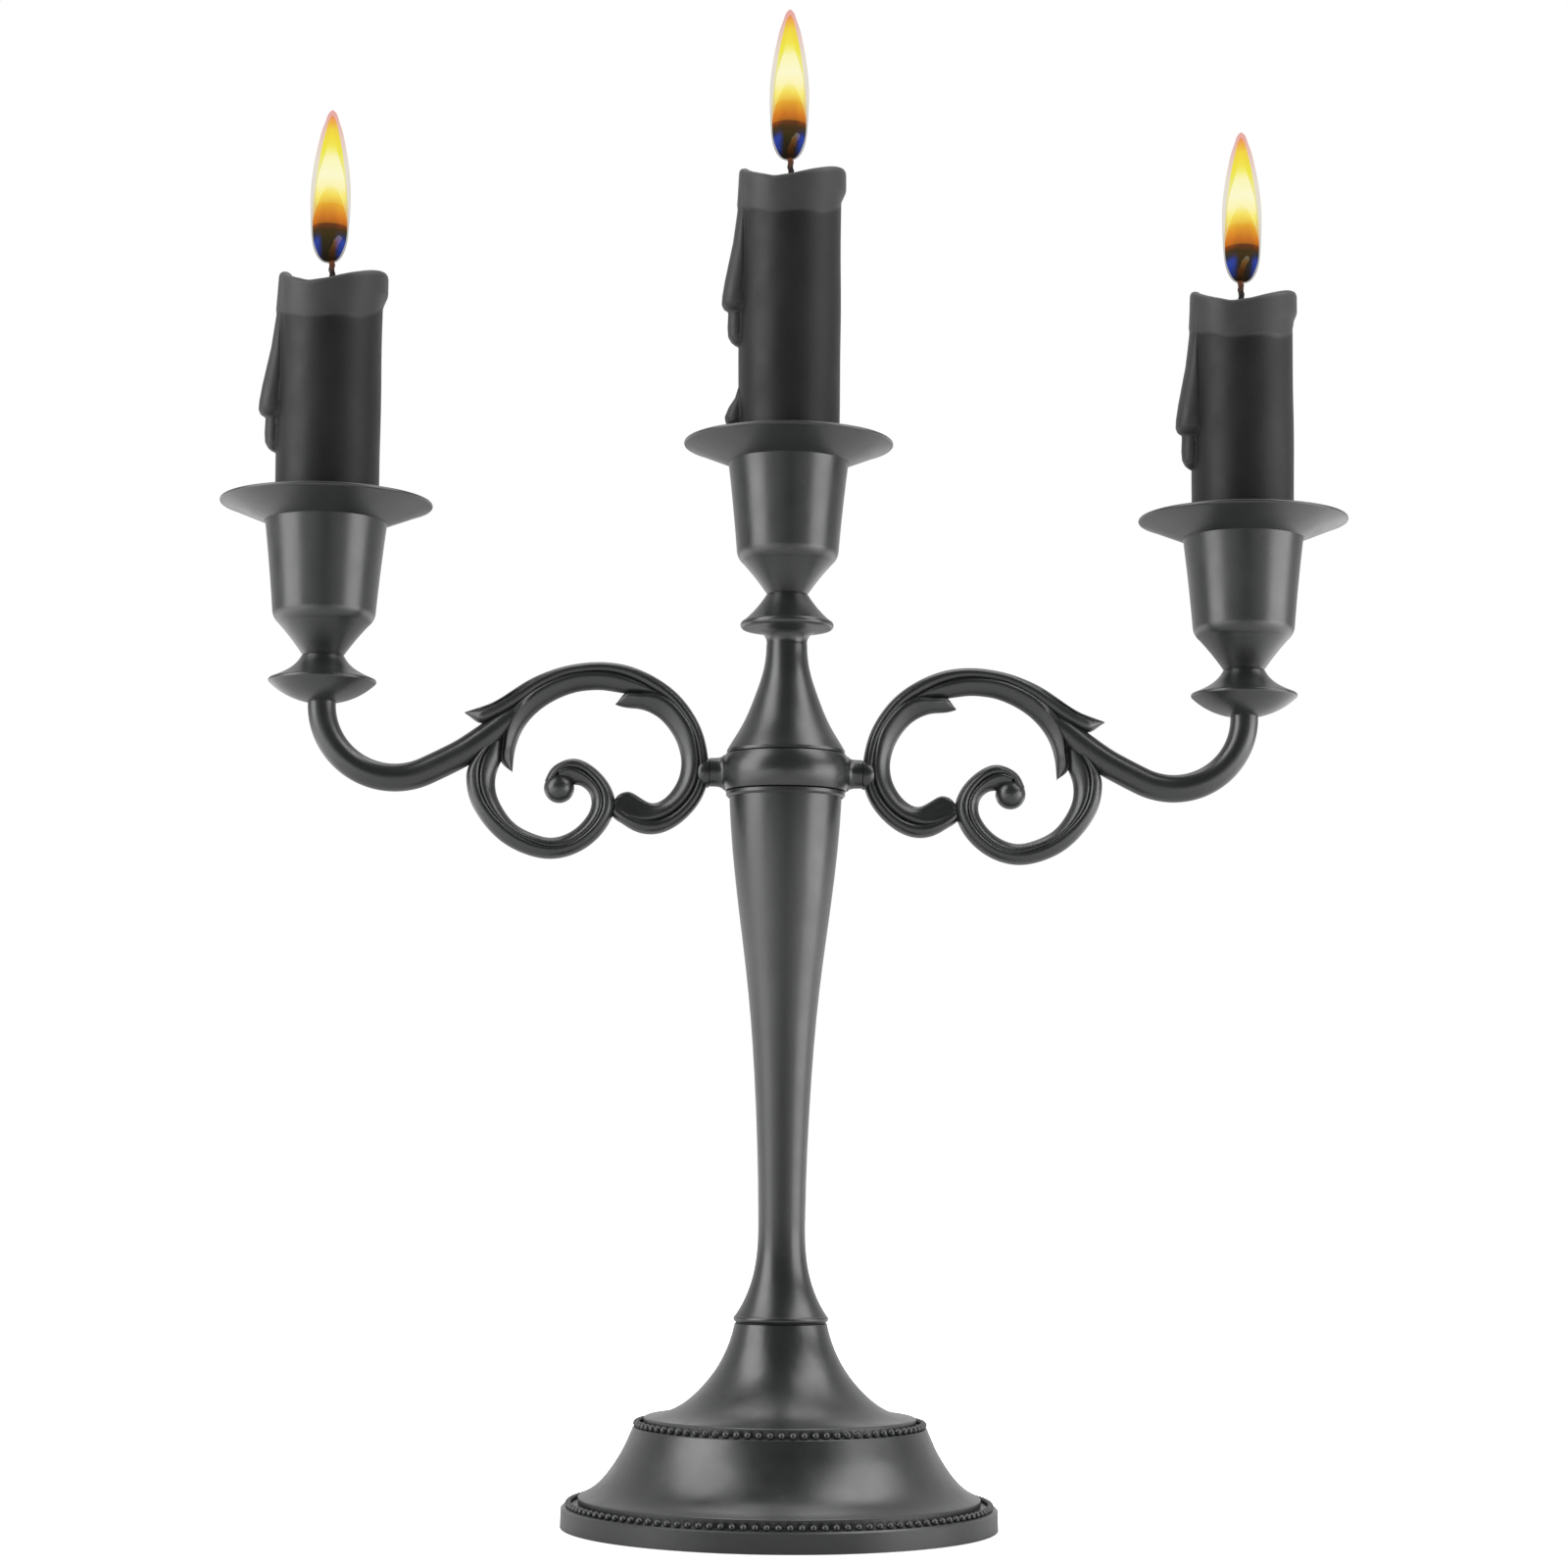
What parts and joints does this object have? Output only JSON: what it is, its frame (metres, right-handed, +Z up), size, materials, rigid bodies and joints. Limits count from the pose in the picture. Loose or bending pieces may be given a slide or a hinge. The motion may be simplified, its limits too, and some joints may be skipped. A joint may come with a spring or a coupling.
{
  "type": "tabletop candelabra",
  "caption": "Black metal tabletop candelabra: tapered shaft on a round beaded foot, scrolled leaf arms, candle cups with drip pans and lit black wax candles.",
  "frame": {"origin": "centre of the foot's underside, on the table", "axes": "+Z up along the shaft, arms along X, front towards -Y"},
  "size_m": [0.285, 0.107, 0.3835],
  "materials": {
    "black_metal": "satin charcoal black",
    "steel": "zinc-plated steel",
    "black_wax": "smooth dyed wax",
    "wick": "charred braided cotton",
    "flame": "glowing flame",
    "felt": "short felt"
  },
  "bodies": {
    "stand": {"base_casting": "black_metal", "base_pad": "felt", "base_bolt": "steel", "base_washer": "steel", "stem": "black_metal", "column_stud": "steel", "column": "black_metal", "cup_middle": "black_metal", "drip_pan_middle": "black_metal", "cup_screw_middle": "steel"},
    "arms": {"arm_ring": "black_metal", "arm_left": "black_metal", "arm_right": "black_metal", "knop_left": "black_metal", "knop_right": "black_metal", "cup_left": "black_metal", "cup_right": "black_metal", "drip_pan_left": "black_metal", "drip_pan_right": "black_metal", "cup_screw_left": "steel", "cup_screw_right": "steel"},
    "left_light": {"candle_left": "black_wax", "wick_left": "wick", "flame_left": "flame"},
    "middle_light": {"candle_middle": "black_wax", "wick_middle": "wick", "flame_middle": "flame"},
    "right_light": {"candle_right": "black_wax", "wick_right": "wick", "flame_right": "flame"}
  },
  "joints": [
    {"name": "arms_swivel", "type": "hinge", "parent": "stand", "child": "arms", "pos_m": [0, 0, 0.1856], "axis": [0, 0, 1], "continuous": true},
    {"name": "left_candle_lift", "type": "slide", "parent": "arms", "child": "left_light", "axis": [0, 0, 1], "range_m": [0, 0.035]},
    {"name": "middle_candle_lift", "type": "slide", "parent": "stand", "child": "middle_light", "axis": [0, 0, 1], "range_m": [0, 0.035]},
    {"name": "right_candle_lift", "type": "slide", "parent": "arms", "child": "right_light", "axis": [0, 0, 1], "range_m": [0, 0.035]}
  ]
}
